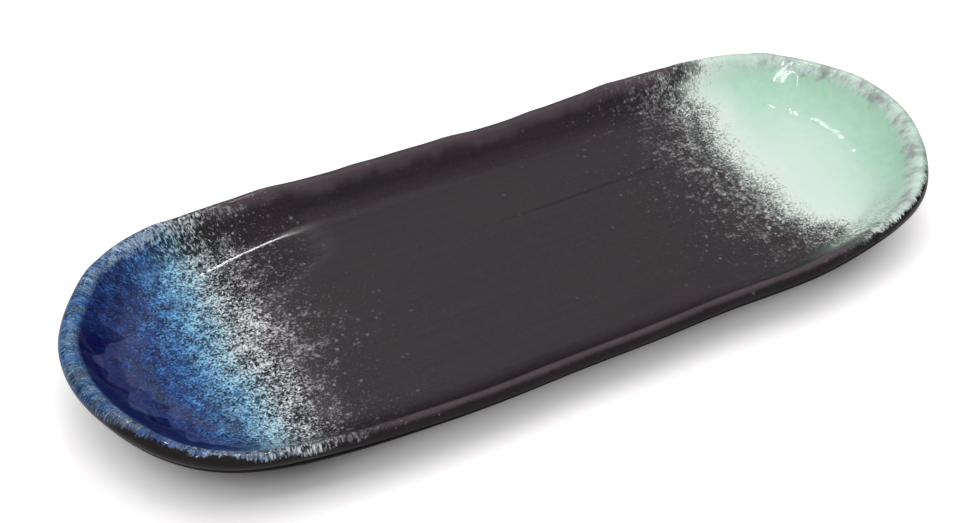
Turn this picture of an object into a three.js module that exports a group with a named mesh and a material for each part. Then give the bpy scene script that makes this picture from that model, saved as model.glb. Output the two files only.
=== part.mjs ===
// A long oval sushi plate: a hand-pressed stoneware slab on a low oblong foot ring, glazed
// black all over, with a blue glaze sprayed on one end and a pale mint one on the other.
// Millimetres, +Z up. +X points to the mint end, and the table is at z = 0 under the foot.
//
// Every piece is drawn from one net of points laid over the clay: rings of points run round the
// plate from its lip, and columns of points cross its floor. The clay, the foot ring and each
// coat of glaze take their faces from that net, so they meet exactly wherever they touch.

import * as THREE from "three";

// Outline of the plate, seen from above
const plateLength = 329;
const plateWidth = 132.2;
const endReach = 85;            // length of each rounded end
const endFullness = 2.33;       // 2 would be a plain ellipse, more is squarer
const waistDepth = 0.7;         // how far each long side draws in at the middle

// Height of the rim and the floor above the table
const rimHeight = 21.6;         // top of the lip at mid length
const rimRise = 7.9;            // the two tips stand this much higher
const floorHeight = 11.2;       // clay floor at mid length
const floorRise = 4.2;          // the floor curves up by this much under the tips
const floorDish = 0.5;          // the floor is this much lower along its middle

// Thickness of the clay
const lipThickness = 5;
const clayThickness = 6.4;

// Share of each long side, out from the middle, whose wall keeps one section
const straightShare = 0.7;

// Inner wall: how far it runs inwards from the lip, and the slope it starts with
const sideWallRun = 15;
const endWallRun = 24;
const wallSlope = 52;           // degrees, where the wall leaves the lip
const wallFillet = 8;           // length of the easy curve where the wall meets the floor
const steepShare = 0.7;         // share of the wall's drop that its first slope heads for

// Outer wall: how far it drops before it tucks under
const sideWallDrop = 2.8;
const endWallDrop = 8.4;
const tuckSlope = 24;           // degrees, where the underside reaches the foot
const tuckShare = 0.5;          // share of the way from foot to rim that this slope heads for

// Foot ring, luted on under the slab and cut flat for the table
const sideFootInset = 22;
const endFootInset = 37.5;
const footRootWidth = 8;        // where it joins the slab
const footSeatWidth = 5;        // where it stands on the table
const bareSeatHeight = 1.2;     // wiped free of glaze up to here

// Marks of the hand: shallow finger dents pressed into the inner wall round each end,
// and slow waves in the outline and in the height of the lip
const dentsPerEnd = 8;
const dentDepth = 1.1;
const outlineWaves = [
  { turns: 7, size: 0.3, start: 70 },
  { turns: 10, size: 0.3, start: 115 },
  { turns: 12, size: 0.5, start: 80 },
  { turns: 14, size: 0.25, start: 120 },
];
const rimWaves = [
  { turns: 3, size: 0.25, start: 200 },
  { turns: 8, size: 0.15, start: 40 },
];

// Glazes
const blackGlaze = 0.35;
const colourGlaze = 0.45;       // blue or mint over the black, on the lip and the high floor
const colourPool = 0.5;         // extra depth where the colour ran down and gathered
const poolShare = 0.6;          // share of the well's depth below which it gathers
const colourEdge = 0.12;        // thickness where the sprayed colour fades out
const blueReach = 57;           // length of the blue coat, in from its tip of the plate
const mintReach = 62;
const mintBulge = 13;           // the mint's edge swells towards mid length by this much
const fadeLength = 20;          // over which the colour thins to its edge

// How finely the surfaces are divided
const endSteps = 16;
const sideSteps = 10;
const lipSteps = 3;
const wallSteps = 4;
const underSteps = 4;
const floorRows = 4;

const halfTurn = 2 * endSteps + sideSteps;
const stationCount = 2 * halfTurn;
const stations = Array.from({ length: stationCount }, (_, station) => station);

const degrees = THREE.MathUtils.degToRad;
const smooth = THREE.MathUtils.smoothstep;
const mix = THREE.MathUtils.lerp;

// A rounded oblong: two long sides that draw in at the waist, and full rounded ends.
// Stations are counted from the tip at +X, along the side at +Y, and round again.
function oblongPoint(oblong, station) {
  const turn = Math.min(station, stationCount - station);
  const side = station <= halfTurn ? 1 : -1;
  const halfSide = oblong.halfLength - oblong.reach;
  const fromTip = Math.min(turn, halfTurn - turn);
  if (fromTip < endSteps) {
    const end = turn < endSteps ? 1 : -1;
    const angle = (fromTip / endSteps) * (Math.PI / 2);
    const along = Math.cos(angle) ** (2 / endFullness);
    const across = Math.sin(angle) ** (2 / endFullness);
    return new THREE.Vector2(
      end * (halfSide + oblong.reach * along),
      side * oblong.halfWidth * across,
    );
  }
  const share = 1 - (2 * (turn - endSteps)) / sideSteps;
  const drawnIn = oblong.waist * Math.cos((share * Math.PI) / 2) ** 2;
  return new THREE.Vector2(halfSide * share, side * (oblong.halfWidth - drawnIn));
}

const rimOblong = {
  halfLength: plateLength / 2,
  halfWidth: plateWidth / 2,
  reach: endReach,
  waist: waistDepth,
};

// The foot's ends are rounded like the plate's, in proportion to its own width
function footOblong(inwards) {
  const halfWidth = plateWidth / 2 - sideFootInset - inwards;
  return {
    halfLength: plateLength / 2 - endFootInset - inwards,
    halfWidth,
    reach: (endReach * halfWidth) / rimOblong.halfWidth,
    waist: waistDepth,
  };
}

// Way round the rim of each station, as a share of the whole rim
function sharesOfRim() {
  const shares = [0];
  for (const station of stations) {
    const here = oblongPoint(rimOblong, station);
    const next = oblongPoint(rimOblong, station + 1);
    shares.push(shares[station] + here.distanceTo(next));
  }
  return shares.map((length) => length / shares[stationCount]);
}
const rimShare = sharesOfRim();

function waveAt(waves, station) {
  const angle = (wave) => 2 * Math.PI * wave.turns * rimShare[station] + degrees(wave.start);
  return waves.reduce((sum, wave) => sum + wave.size * Math.sin(angle(wave)), 0);
}

// How much of an end's form a station has: 0 along the sides, 1 at the tips
function endShare(x) {
  const halfSide = rimOblong.halfLength - endReach;
  return smooth(Math.abs(x), straightShare * halfSide, rimOblong.halfLength);
}

const riseShare = (x) => (x / rimOblong.halfLength) ** 2;
const floorAt = (x) => floorHeight + floorRise * riseShare(x);
const underAt = (x) => floorAt(x) - clayThickness;

// Plan frame of one station: its place on the rim and the way inwards, square to the rim
function planOf(station) {
  const before = oblongPoint(rimOblong, (station + stationCount - 1) % stationCount);
  const after = oblongPoint(rimOblong, (station + 1) % stationCount);
  const run = after.sub(before).normalize();
  const inwards = new THREE.Vector2(-run.y, run.x);
  const rim = oblongPoint(rimOblong, station);
  rim.addScaledVector(inwards, -waveAt(outlineWaves, station));
  return { rim, inwards, end: endShare(rim.x) };
}

// Finger dents: each widens the hollow of the inner wall, and they fade out along the sides
function dentAt(plan, station) {
  const quarter = rimShare[endSteps];
  const fromTip = Math.abs(rimShare[station] - Math.round(rimShare[station] * 2) / 2);
  const press = 0.5 - 0.5 * Math.cos((Math.PI * dentsPerEnd * fromTip) / quarter);
  return dentDepth * press * plan.end;
}

// Section of the lip and the inner wall at a station, from the widest point of the lip to the
// floor. In each point x is the distance in from the rim and y the height above the table.
function wallSection(plan, station) {
  const lipRadius = lipThickness / 2;
  const lipTop = rimHeight + rimRise * riseShare(plan.rim.x) + waveAt(rimWaves, station);
  const leave = degrees(90 - wallSlope);
  const lip = [];
  for (let step = 0; step <= lipSteps; step += 1) {
    const angle = mix(Math.PI, leave, step / lipSteps);
    const inset = lipRadius * (1 + Math.cos(angle));
    lip.push(new THREE.Vector2(inset, lipTop - lipRadius * (1 - Math.sin(angle))));
  }
  const shoulder = lip[lipSteps];
  const run = mix(sideWallRun, endWallRun, plan.end);
  const foot = plan.rim.clone().addScaledVector(plan.inwards, lipThickness + run);
  const base = new THREE.Vector2(lipThickness + run, floorAt(foot.x));
  const drop = steepShare * (shoulder.y - base.y);
  const dent = dentAt(plan, station);
  const steep = new THREE.Vector2(shoulder.x + drop / Math.tan(degrees(wallSlope)), shoulder.y - drop);
  const hollow = new THREE.Vector2(base.x - wallFillet, base.y);
  const curve = new THREE.CubicBezierCurve(
    shoulder,
    steep.sub(new THREE.Vector2(dent, dent)),
    hollow.sub(new THREE.Vector2(dent, 0)),
    base,
  );
  return [...lip, ...curve.getPoints(wallSteps).slice(1)];
}

// The net of points over the clay. A ring holds one point's number for each station. Each
// point also keeps its turn: how many stations it lies from the tip at +X, on either side.
const net = [];
const turnOf = [];

function addPoint(x, y, z, turn) {
  net.push(new THREE.Vector3(x, y, z));
  turnOf.push(turn);
  return net.length - 1;
}

const turnAt = (station) => Math.min(station, stationCount - station);

const plans = stations.map(planOf);
const sections = stations.map((station) => wallSection(plans[station], station));

function wallRing(step) {
  return stations.map((station) => {
    const { x: inset, y: height } = sections[station][step];
    const { rim, inwards } = plans[station];
    const place = rim.clone().addScaledVector(inwards, inset);
    return addPoint(place.x, place.y, height, turnAt(station));
  });
}

// Underside from the widest point of the lip to the foot, swept between the rim and the foot
function underRings() {
  const curves = stations.map((station) => {
    const plan = plans[station];
    const start = net[lipRing[station]];
    const foot = oblongPoint(footOblong(0), station);
    const end = new THREE.Vector3(foot.x, foot.y, underAt(foot.x));
    const drop = mix(sideWallDrop, endWallDrop, riseShare(start.x));
    const reach = Math.hypot(start.x - end.x, start.y - end.y);
    const outwards = new THREE.Vector3(start.x - end.x, start.y - end.y, 0).divideScalar(reach);
    const tuck = tuckShare * reach;
    const lift = tuck * Math.tan(degrees(tuckSlope));
    const below = new THREE.Vector3(start.x, start.y, start.z - drop);
    const belly = end.clone().addScaledVector(outwards, tuck).setZ(end.z + lift);
    return new THREE.CubicBezierCurve3(start, below, belly, end);
  });
  return Array.from({ length: underSteps }, (_, step) =>
    curves.map((curve, station) => addPoint(...curve.getPoint((step + 1) / underSteps), turnAt(station))),
  );
}

// One ring of the foot at a distance inside its outer edge, at the height that heightAt gives
function footRing(inwards, heightAt) {
  return stations.map((station) => {
    const place = oblongPoint(footOblong(inwards), station);
    return addPoint(place.x, place.y, heightAt(place.x), turnAt(station));
  });
}

// Columns of points across the plate, each from a ring's point on the +Y side to the one
// facing it on the -Y side. bend moves a point along, and heightAt gives its height.
function columnsAcross(ring, bend, heightAt) {
  const columns = [];
  for (let turn = 0; turn <= halfTurn; turn += 1) {
    const far = net[ring[turn]];
    const near = net[ring[(stationCount - turn) % stationCount]];
    const column = [ring[turn]];
    for (let row = 1; row < floorRows; row += 1) {
      const across = 1 - (2 * row) / floorRows;
      const place = far.clone().lerp(near, row / floorRows);
      const x = place.x + bend(place.x, across);
      column.push(addPoint(x, place.y, heightAt(x, across), turn));
    }
    column.push(ring[(stationCount - turn) % stationCount]);
    const atTip = turn === 0 || turn === halfTurn;
    columns.push(atTip ? [ring[turn]] : column);
  }
  return columns;
}

// The faces between two rings, the second one inside the first as seen from outside the clay
function bandFaces(outer, inner) {
  return stations.flatMap((station) => {
    const next = (station + 1) % stationCount;
    return [
      [outer[station], outer[next], inner[next]],
      [outer[station], inner[next], inner[station]],
    ];
  });
}

function chainFaces(rings) {
  return rings.slice(1).flatMap((ring, index) => bandFaces(rings[index], ring));
}

// The faces between neighbouring columns, seen from above
function columnFaces(columns) {
  const faces = [];
  for (let turn = 1; turn <= halfTurn; turn += 1) {
    const right = columns[turn - 1];
    const left = columns[turn];
    for (let row = 0; row < floorRows; row += 1) {
      const [a, b] = [right[row] ?? right[0], right[row + 1] ?? right[0]];
      const [c, d] = [left[row] ?? left[0], left[row + 1] ?? left[0]];
      if (right.length > 1) faces.push([a, d, b]);
      if (left.length > 1) faces.push([a, c, d]);
    }
  }
  return faces;
}

const turned = (faces) => faces.map(([a, b, c]) => [a, c, b]);

// Clay surface, from the lip inwards over the top
const lipRing = wallRing(0);
const topRings = [lipRing];
for (let step = 1; step <= lipSteps + wallSteps; step += 1) {
  topRings.push(wallRing(step));
}

// Where each colour ends on the far side of the plate, out from mid length
const blueEdge = rimOblong.halfLength - blueReach;
const mintEdge = rimOblong.halfLength - mintReach;

// The columns of the floor bend so that one of them runs along the curved edge of the mint
function mintBend(x, across) {
  const atEdge = smooth(x, 0, mintEdge) * (1 - smooth(x, mintEdge, rimOblong.halfLength));
  return -mintBulge * atEdge * (1 - across ** 2);
}
const floorColumns = columnsAcross(
  topRings[topRings.length - 1],
  mintBend,
  (x, across) => floorAt(x) - floorDish * (1 - across ** 2),
);
const topFaces = [...chainFaces(topRings), ...columnFaces(floorColumns)];

// Clay surface, from the lip down the outside to the foot and across the underside
const seatTaper = (footRootWidth - footSeatWidth) / 2;
const underside = underRings();
const rootOuter = underside[underSteps - 1];
const rootInner = footRing(footRootWidth, underAt);
const lineTaper = seatTaper * (1 - bareSeatHeight / underAt(0));
const glazeLineOuter = footRing(lineTaper, () => bareSeatHeight);
const glazeLineInner = footRing(footRootWidth - lineTaper, () => bareSeatHeight);
const seatOuter = footRing(seatTaper, () => 0);
const seatInner = footRing(seatTaper + footSeatWidth, () => 0);
const panelColumns = columnsAcross(rootInner, () => 0, (x) => underAt(x));

const outsideFaces = turned(chainFaces([lipRing, ...underside]));
const rootFaces = turned(bandFaces(rootOuter, rootInner));
const panelFaces = turned(columnFaces(panelColumns));
const outerFlankFaces = turned(bandFaces(rootOuter, glazeLineOuter));
const innerFlankFaces = turned(bandFaces(glazeLineInner, rootInner));
const bareFootFaces = turned(chainFaces([glazeLineOuter, seatOuter, seatInner, glazeLineInner]));

// Which way the surface of the clay faces at each point of the net
function clayNormals() {
  const normals = net.map(() => new THREE.Vector3());
  const open = [topFaces, outsideFaces, outerFlankFaces, bareFootFaces, innerFlankFaces, panelFaces];
  for (const [a, b, c] of open.flat()) {
    const edge = net[b].clone().sub(net[a]);
    const facing = edge.cross(net[c].clone().sub(net[a]));
    for (const point of [a, b, c]) {
      normals[point].add(facing);
    }
  }
  return normals.map((normal) => normal.normalize());
}
const normals = clayNormals();

const lifted = (point, height) => net[point].clone().addScaledVector(normals[point], height);

// A closed solid from faces, with the place that placeOf gives for each of their corners
function solidFrom(faces, placeOf) {
  const numbers = new Map();
  const positions = [];
  const index = faces.flat().map((corner) => {
    if (!numbers.has(corner)) {
      numbers.set(corner, numbers.size);
      positions.push(...placeOf(corner));
    }
    return numbers.get(corner);
  });
  const geometry = new THREE.BufferGeometry();
  geometry.setAttribute("position", new THREE.Float32BufferAttribute(positions, 3));
  geometry.setIndex(index);
  geometry.computeVertexNormals();
  return geometry;
}

function claySolid(faces) {
  return solidFrom(faces, (point) => net[point]);
}

// The narrow wall at one free edge of a coat. Two coats that meet along an edge share its wall,
// so the wall is split along the same diagonal from either side.
function edgeWall(start, end, count) {
  if (start < end) {
    return [[start, end, end + count], [start, end + count, start + count]];
  }
  return [[start, end, start + count], [end, end + count, start + count]];
}

// A coat of glaze over some faces of the net: its underside lies at height lowAt above the
// clay and its top at height highAt, and a narrow wall closes it round its edge
function glazeSolid(faces, lowAt, highAt) {
  const count = net.length;
  const free = new Map();
  for (const face of faces) {
    face.forEach((start, corner) => {
      const end = face[(corner + 1) % 3];
      if (!free.delete(`${end} ${start}`)) free.set(`${start} ${end}`, [start, end]);
    });
  }
  const top = faces.map((face) => face.map((point) => point + count));
  const edge = [...free.values()].flatMap(([start, end]) => edgeWall(start, end, count));
  const placeOf = (corner) => {
    const point = corner % count;
    return lifted(point, corner < count ? lowAt(point) : highAt(point));
  };
  return solidFrom([...turned(faces), ...top, ...edge], placeOf);
}

// The column of the floor that a colour's edge runs along
const columnX = floorColumns.map((column) => net[column[0]].x);

function edgeTurn(end, edge) {
  const gap = (turn) => Math.abs(end * columnX[turn] - edge);
  return columnX.reduce((best, _, turn) => (gap(turn) < gap(best) ? turn : best), 0);
}

// Thickness of a sprayed colour over the black: it thins towards its edge across the floor,
// and is deepest low on the plate, where it ran down and pooled
function colourThickness(point, edge) {
  const place = net[point];
  const within = Math.abs(columnX[turnOf[point]]) - edge;
  const fade = smooth(within, 0, fadeLength);
  const lipTop = rimHeight + rimRise * riseShare(place.x);
  const low = 1 - smooth(place.z, floorAt(place.x), mix(floorAt(place.x), lipTop, poolShare));
  return mix(colourEdge, colourGlaze + colourPool * low, fade);
}

// The coat of one colour, over every face of the top from its end of the plate to its edge
function colourSolid(end, edge) {
  const lastTurn = edgeTurn(end, edge);
  const within = (point) => end * (turnOf[point] - lastTurn) <= 0;
  const faces = topFaces.filter((face) => face.every(within));
  return glazeSolid(faces, () => blackGlaze, (point) => blackGlaze + colourThickness(point, edge));
}

function blackSolid(faces) {
  return glazeSolid(faces, () => 0, () => blackGlaze);
}

// Materials
const clayBuff = new THREE.MeshStandardMaterial({ color: 0x8d7f70, roughness: 0.85, metalness: 0 });
const satinBlack = new THREE.MeshStandardMaterial({ color: 0x3c3437, roughness: 0.38, metalness: 0 });
const glossyBlack = new THREE.MeshStandardMaterial({ color: 0x241f21, roughness: 0.22, metalness: 0 });
const cobaltBlue = new THREE.MeshStandardMaterial({ color: 0x1b4fa6, roughness: 0.12, metalness: 0 });
const paleMint = new THREE.MeshStandardMaterial({ color: 0xbfe3cf, roughness: 0.12, metalness: 0 });

const plate = new THREE.Group();

function addPiece(name, geometry, material) {
  const piece = new THREE.Mesh(geometry, material);
  piece.name = name;
  plate.add(piece);
}

addPiece("stoneware_body", claySolid([...topFaces, ...outsideFaces, ...rootFaces, ...panelFaces]), clayBuff);
addPiece(
  "foot_ring",
  claySolid([...turned(rootFaces), ...outerFlankFaces, ...bareFootFaces, ...innerFlankFaces]),
  clayBuff,
);
addPiece("black_glaze_top", blackSolid(topFaces), satinBlack);
addPiece("black_glaze_outside", blackSolid([...outsideFaces, ...outerFlankFaces]), glossyBlack);
addPiece("black_glaze_underside", blackSolid([...innerFlankFaces, ...panelFaces]), glossyBlack);
addPiece("blue_glaze_end", colourSolid(-1, blueEdge), cobaltBlue);
addPiece("mint_glaze_end", colourSolid(1, mintEdge), paleMint);

// Centre the plate over its origin: the hand's waves leave its edges a little uneven
const middle = new THREE.Box3().setFromObject(plate).getCenter(new THREE.Vector3());
plate.position.set(-middle.x, -middle.y, 0);

export default plate;
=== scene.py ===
# Looks of a long oval sushi plate: black glazed stoneware with a blue and a mint end.
# The shapes below are worked out in millimetres and in the frame of the CAD model, +Z up,
# with +X towards the mint end; they go into Blender in metres.
import math
from functools import reduce

import bpy
import numpy as np
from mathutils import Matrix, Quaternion, Vector


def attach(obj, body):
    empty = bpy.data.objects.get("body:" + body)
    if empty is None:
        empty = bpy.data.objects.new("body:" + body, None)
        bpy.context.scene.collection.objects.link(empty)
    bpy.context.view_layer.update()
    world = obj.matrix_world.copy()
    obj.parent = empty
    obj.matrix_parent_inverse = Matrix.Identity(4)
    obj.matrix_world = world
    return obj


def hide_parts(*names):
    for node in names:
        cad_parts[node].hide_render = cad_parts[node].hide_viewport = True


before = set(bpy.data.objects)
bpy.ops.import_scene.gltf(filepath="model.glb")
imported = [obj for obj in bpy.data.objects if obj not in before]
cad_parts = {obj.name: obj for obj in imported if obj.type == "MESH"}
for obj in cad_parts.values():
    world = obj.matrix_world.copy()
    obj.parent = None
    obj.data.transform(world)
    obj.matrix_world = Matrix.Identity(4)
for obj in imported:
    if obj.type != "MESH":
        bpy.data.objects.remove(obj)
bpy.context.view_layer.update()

MM = 0.001

# Camera, table and studio
CAMERA_AZIMUTH = math.radians(-27.36)
CAMERA_ELEVATION = math.radians(41.789)
CAMERA_DISTANCE = 449.93
CAMERA_TARGET = Vector((-21.29, -7.98, 22.0))
CAMERA_LENS = 47.42
SENSOR_WIDTH = 36
# The table, in metres. It glows white from SHADOW_TO on, measured from a line along the plate's
# middle, and not at all within SHADOW_FROM, which paints a shadow round the plate over the lamps' own.
TABLE_SIZE = 8
TABLE_COLOUR = "#f8f5f6"
TABLE_MIRRORED = "#bcb9ba"
SPINE_LENGTH = 0.2
SHADOW_FROM = 0.044
SHADOW_TO = 0.061
GLOW_BY_PLATE = 0.34
GLOW_FARTHER = 0.6
FARTHER_FROM = 0.4
FARTHER_TO = 1.6
MIRRORED_GLOW = 0.15
WHITE = (1, 1, 1, 1)
# The level way from the camera to the far side, and the brightness of the studio's areas
FAR_WAY = (0.46, 0.89)
DIM = 0.28
OVERHEAD = 0.3
GAP = 0.1
HORIZON_NEAR = 0.5
HORIZON_FAR = 0.35


def add_camera():
    level = math.cos(CAMERA_ELEVATION)
    back = Vector((
        math.sin(CAMERA_AZIMUTH) * level,
        -math.cos(CAMERA_AZIMUTH) * level,
        math.sin(CAMERA_ELEVATION),
    ))
    data = bpy.data.cameras.new("camera")
    data.lens = CAMERA_LENS
    data.sensor_width = SENSOR_WIDTH
    data.clip_start = 0.01
    camera = bpy.data.objects.new("camera", data)
    bpy.context.scene.collection.objects.link(camera)
    camera.location = (CAMERA_TARGET + back * CAMERA_DISTANCE) * MM
    camera.rotation_euler = back.to_track_quat("Z", "Y").to_euler()
    bpy.context.scene.camera = camera


# Node helpers
class Shader:
    """Short ways to add nodes to one node tree. Inputs may be sockets or plain values."""

    def __init__(self, tree):
        self.tree = tree

    def add(self, kind, inputs=None, **settings):
        node = self.tree.nodes.new(kind)
        for name, value in settings.items():
            setattr(node, name, value)
        for key, value in (inputs or {}).items():
            self.feed(node.inputs[key], value)
        return node

    def feed(self, socket, value):
        if isinstance(value, bpy.types.NodeSocket):
            self.tree.links.new(value, socket)
        else:
            socket.default_value = value

    def math(self, operation, a, b=0.0, clamp=False):
        node = self.add("ShaderNodeMath", operation=operation, use_clamp=clamp)
        for socket, value in zip(node.inputs, (a, b)):
            self.feed(socket, value)
        return node.outputs[0]

    def plus(self, *terms):
        return reduce(lambda a, b: self.math("ADD", a, b), terms)

    def minus(self, a, b):
        return self.math("SUBTRACT", a, b)

    def plus_vector(self, vector, amount):
        inputs = {0: vector, 1: (amount,) * 3}
        return self.add("ShaderNodeVectorMath", inputs, operation="ADD").outputs[0]

    def times(self, *factors):
        return reduce(lambda a, b: self.math("MULTIPLY", a, b), factors)

    def over(self, a, b):
        return self.math("DIVIDE", a, b)

    def most(self, a, b):
        return self.math("MAXIMUM", a, b)

    def size(self, a):
        return self.math("ABSOLUTE", a)

    def rise(self, value, low, high, start=0.0, end=1.0):
        """Smooth step of value from start at low to end at high."""
        node = self.add("ShaderNodeMapRange", interpolation_type="SMOOTHSTEP")
        for name, number in (
            ("Value", value), ("From Min", low), ("From Max", high),
            ("To Min", start), ("To Max", end),
        ):
            self.feed(node.inputs[name], number)
        return node.outputs[0]

    def ramp(self, value, *stops):
        """Number that runs straight between (value, number) stops."""
        node = self.add("ShaderNodeFloatCurve")
        low, high = stops[0][0], stops[-1][0]
        points = node.mapping.curves[0].points
        while len(points) < len(stops):
            points.new(0.5, 0.5)
        for point, (place, number) in zip(points, stops):
            point.location = ((place - low) / (high - low), number)
            point.handle_type = "AUTO_CLAMPED"
        node.mapping.update()
        share = self.over(self.minus(value, low), high - low)
        self.feed(node.inputs["Value"], self.math("ADD", share, 0.0, clamp=True))
        return node.outputs[0]

    def tint(self, value, *stops):
        """Colour that runs between (value, colour) stops."""
        node = self.add("ShaderNodeValToRGB")
        low, high = stops[0][0], stops[-1][0]
        elements = node.color_ramp.elements
        while len(elements) < len(stops):
            elements.new(0.5)
        for index, (place, _) in enumerate(stops):
            elements[index].position = (place - low) / (high - low)
        for index, (_, colour) in enumerate(stops):
            elements[index].color = paint(colour)
        share = self.over(self.minus(value, low), high - low)
        self.feed(node.inputs[0], share)
        return node.outputs[0]

    def blend(self, share, a, b):
        """Number between a and b."""
        node = self.add("ShaderNodeMix", data_type="FLOAT")
        for index, value in ((0, share), (2, a), (3, b)):
            self.feed(node.inputs[index], value)
        return node.outputs[0]

    def coat(self, share, under, over):
        """Colour over laid on colour under."""
        node = self.add("ShaderNodeMix", data_type="RGBA")
        for index, value in ((0, share), (6, under), (7, over)):
            self.feed(node.inputs[index], paint(value) if isinstance(value, str) else value)
        return node.outputs[2]

    def join(self, x, y, z):
        node = self.add("ShaderNodeCombineXYZ")
        for socket, value in zip(node.inputs, (x, y, z)):
            self.feed(socket, value)
        return node.outputs[0]

    def split(self, vector):
        return self.add("ShaderNodeSeparateXYZ", {0: vector}).outputs

    def noise(self, vector, size, detail=2.0, rough=0.5, twist=0.0, output=0):
        node = self.add("ShaderNodeTexNoise", {
            "Vector": vector, "Scale": 1 / size, "Detail": detail,
            "Roughness": rough, "Distortion": twist,
        })
        return node.outputs[output]

    def sway(self, *noise):
        """Noise less its mean, so that it swings about nought."""
        return self.minus(self.noise(*noise), 0.5)

    def cells(self, vector, size):
        """Distance to the nearest random point, and a random colour for that point."""
        node = self.add("ShaderNodeTexVoronoi", {"Vector": vector, "Scale": 1 / size})
        return node.outputs["Distance"], node.outputs["Color"]


def paint(code):
    """Linear colour of an sRGB hex code."""
    channels = [int(code[i:i + 2], 16) / 255 for i in (1, 3, 5)]
    linear = [c / 12.92 if c <= 0.04045 else ((c + 0.055) / 1.055) ** 2.4 for c in channels]
    return (*linear, 1.0)


def new_material(name):
    material = bpy.data.materials.new(name)
    material.use_nodes = True
    shader = Shader(material.node_tree)
    surface = material.node_tree.nodes["Principled BSDF"]
    return material, shader, surface


# Stage
def add_floor():
    bpy.ops.mesh.primitive_plane_add(size=TABLE_SIZE, location=(0, 0, 0))
    floor = bpy.context.object
    floor.name = "floor"
    material = bpy.data.materials.new("floor")
    material.use_nodes = True
    shader = Shader(material.node_tree)
    nodes = material.node_tree.nodes
    nodes.remove(nodes["Principled BSDF"])
    rays = shader.add("ShaderNodeLightPath").outputs
    # seen in reflections the table is painted greyer and glows less, which darkens its reflection in the
    # plate's outer glaze
    mirrored = shader.most(rays["Is Glossy Ray"], rays["Is Transmission Ray"])
    colour = shader.coat(mirrored, TABLE_COLOUR, TABLE_MIRRORED)
    diffuse = shader.add("ShaderNodeBsdfDiffuse", {"Color": colour})
    # the backdrop is white, and greys only close to the plate, where the lamps' shadow lies and the glow
    # left out paints more shadow
    x, y, _ = shader.split(shader.add("ShaderNodeTexCoord").outputs["Object"])
    past_middle = shader.most(shader.minus(shader.size(x), SPINE_LENGTH / 2), 0)
    away = shader.math("SQRT", shader.plus(shader.times(past_middle, past_middle), shader.times(y, y)))
    glow_past_painted_shadow = shader.rise(away, SHADOW_FROM, SHADOW_TO, 0, GLOW_BY_PLATE)
    farther = shader.rise(away, FARTHER_FROM, FARTHER_TO, 0, GLOW_FARTHER)
    seen = shader.times(rays["Is Camera Ray"], shader.plus(glow_past_painted_shadow, farther))
    seen = shader.most(seen, shader.times(mirrored, MIRRORED_GLOW, glow_past_painted_shadow))
    glow = shader.add("ShaderNodeEmission", {"Color": WHITE, "Strength": seen})
    both = shader.add("ShaderNodeAddShader", {0: diffuse.outputs[0], 1: glow.outputs[0]})
    shader.feed(nodes["Material Output"].inputs["Surface"], both.outputs[0])
    floor.data.materials.append(material)


def add_world():
    world = bpy.data.worlds.new("studio")
    bpy.context.scene.world = world
    world.use_nodes = True
    shader = Shader(world.node_tree)
    background = world.node_tree.nodes["Background"]
    background.inputs["Color"].default_value = WHITE
    x, y, z = shader.split(shader.add("ShaderNodeTexCoord").outputs["Generated"])
    # a soft bright area on the far side above a dark gap, and dim behind the camera and overhead
    farness = shader.plus(shader.times(x, FAR_WAY[0]), shader.times(y, FAR_WAY[1]))
    far = shader.rise(farness, -0.35, 0.25)
    bright = shader.times(shader.rise(x, 0.05, 0.4, 0.17, 0.55), shader.rise(x, 0.58, 0.78, 1, 0.4))
    horizon = shader.blend(far, HORIZON_NEAR, HORIZON_FAR)
    sky = shader.blend(shader.rise(z, 0.04, 0.09), horizon, shader.blend(far, DIM, GAP))
    sky = shader.blend(shader.rise(z, 0.31, 0.37), sky, shader.blend(far, DIM, bright))
    sky = shader.blend(shader.rise(z, 0.74, 0.88), sky, OVERHEAD)
    from_camera = shader.add("ShaderNodeLightPath").outputs["Is Camera Ray"]
    shader.feed(background.inputs["Strength"], shader.most(sky, from_camera))


def add_lamp(name, azimuth, elevation, distance, width, height, radiance, roll=0, mirrored=True):
    """An area lamp that faces the plate, in metres. Azimuth runs from +Y towards +X, in degrees."""
    data = bpy.data.lights.new(name, "AREA")
    data.shape = "RECTANGLE"
    data.size = width
    data.size_y = height
    data.energy = radiance * math.pi * width * height
    lamp = bpy.data.objects.new(name, data)
    bpy.context.scene.collection.objects.link(lamp)
    a, e = math.radians(azimuth), math.radians(elevation)
    away = Vector((math.sin(a) * math.cos(e), math.cos(a) * math.cos(e), math.sin(e)))
    lamp.location = away * distance
    turn = Quaternion((0, 0, 1), math.radians(roll))
    lamp.rotation_euler = (away.to_track_quat("Z", "Y") @ turn).to_euler()
    lamp.visible_camera = False
    lamp.visible_glossy = mirrored


add_camera()
add_floor()
add_world()
# The key lamp lights the plate, and the small ones make the glints on its glaze
add_lamp("key", 195, 84, distance=1.6, width=1, height=1, radiance=4.85, mirrored=False)
add_lamp("wide_strip", 20.4, 51, distance=4, width=0.2, height=0.17, radiance=28)
add_lamp("tall_strip", 18, 58, distance=4, width=0.22, height=0.13, radiance=28)
add_lamp("spot", 26, 60, distance=4, width=0.12, height=0.12, radiance=28)
add_lamp("side_strip", -105, 62, distance=1.4, width=0.035, height=0.55, radiance=20, roll=26)

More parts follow.
